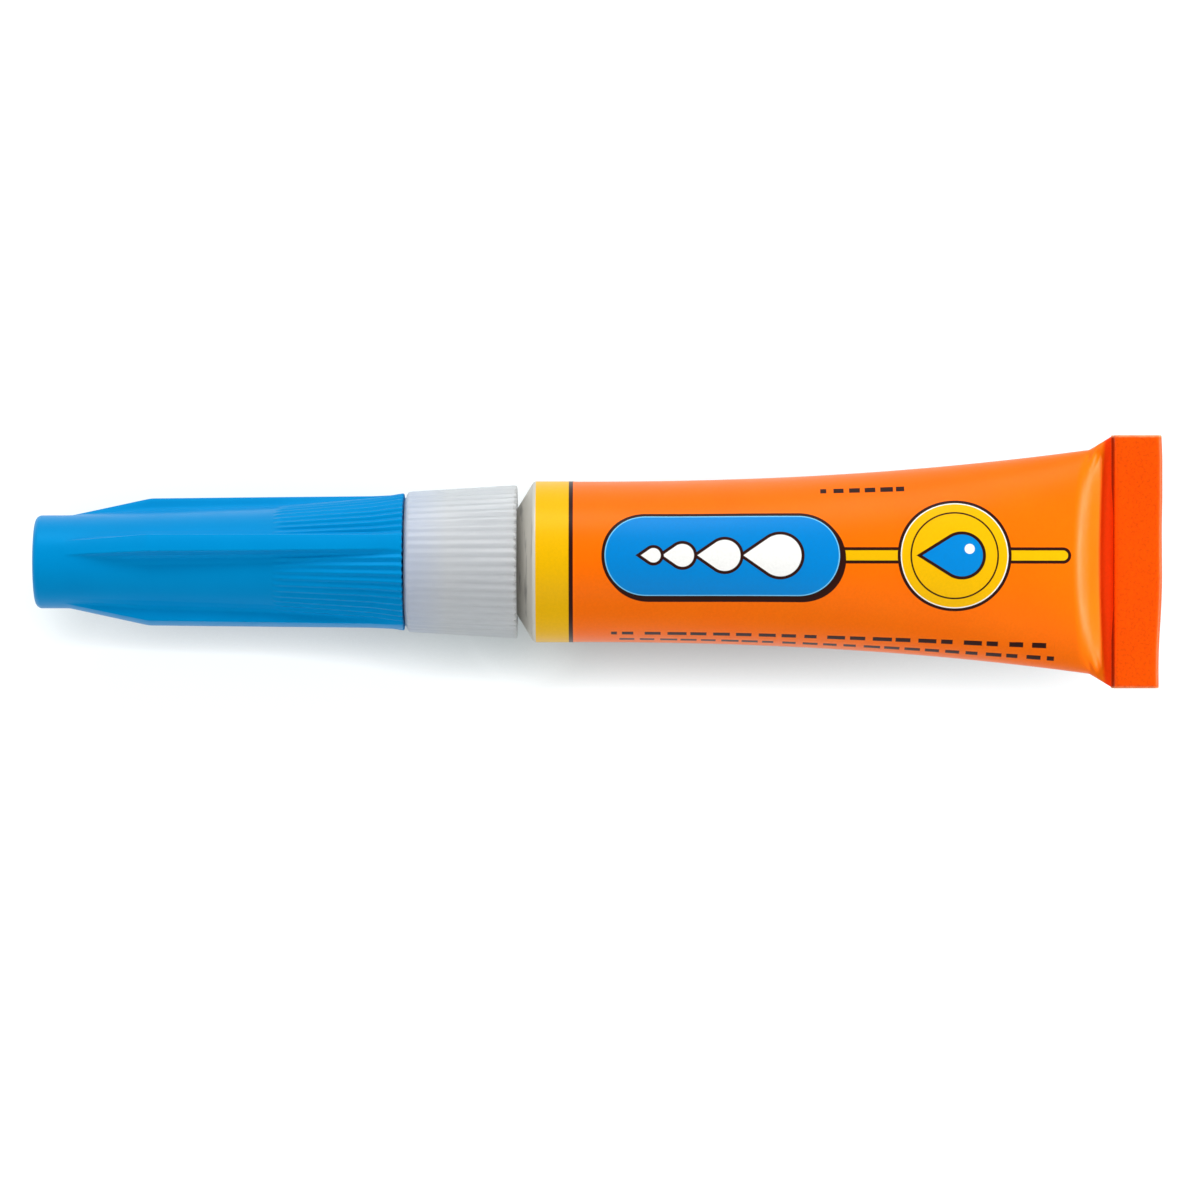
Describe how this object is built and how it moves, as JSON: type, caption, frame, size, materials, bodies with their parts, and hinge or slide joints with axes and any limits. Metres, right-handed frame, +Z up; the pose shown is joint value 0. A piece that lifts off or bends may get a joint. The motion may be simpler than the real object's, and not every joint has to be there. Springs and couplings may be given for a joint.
{
  "type": "super glue tube",
  "caption": "Collapsible metal glue tube with a conical shoulder and a folded tail, a ribbed screw-on piercing nozzle and a long finned screw cap with a pin.",
  "frame": {"origin": "under the middle of the part, on the surface that the belly of the tube rests on", "axes": "+X along the tube from the cap to the folded tail, +Y across the tail fold, +Z up"},
  "size_m": [0.0944, 0.0212, 0.0134],
  "materials": {
    "tube": "satin",
    "bare_aluminium": "satin",
    "latex": "matte",
    "adhesive": "gloss",
    "nozzle": "satin",
    "cap": "satin",
    "pin": "satin"
  },
  "bodies": {
    "tube": {"tube": "tube", "tail_seal": "latex", "adhesive": "adhesive"},
    "membrane": {"neck_membrane": "bare_aluminium"},
    "nozzle": {"nozzle": "nozzle"},
    "pin": {"cap_pin": "pin"},
    "cap": {"cap": "cap"}
  },
  "joints": [
    {"name": "nozzle_advance", "type": "slide", "parent": "tube", "child": "membrane", "axis": [1, 0, 0], "range_m": [0, 0.00075]},
    {"name": "nozzle_turn", "type": "hinge", "parent": "membrane", "child": "nozzle", "pos_m": [-0.0113, 0, 0.00663], "axis": [1, 0, 0], "range_deg": [0, 270]},
    {"name": "cap_lift", "type": "slide", "parent": "nozzle", "child": "pin", "axis": [-1, 0, 0], "range_m": [0, 0.0295]},
    {"name": "cap_turn", "type": "hinge", "parent": "pin", "child": "cap", "pos_m": [-0.03, 0, 0.00663], "axis": [-1, 0, 0], "range_deg": [0, 540]}
  ],
  "couplings": [
    {"joint": "nozzle_turn", "follows": "nozzle_advance", "rad_per_m": 6283.2},
    {"joint": "cap_turn", "follows": "cap_lift", "rad_per_m": 319.48}
  ]
}
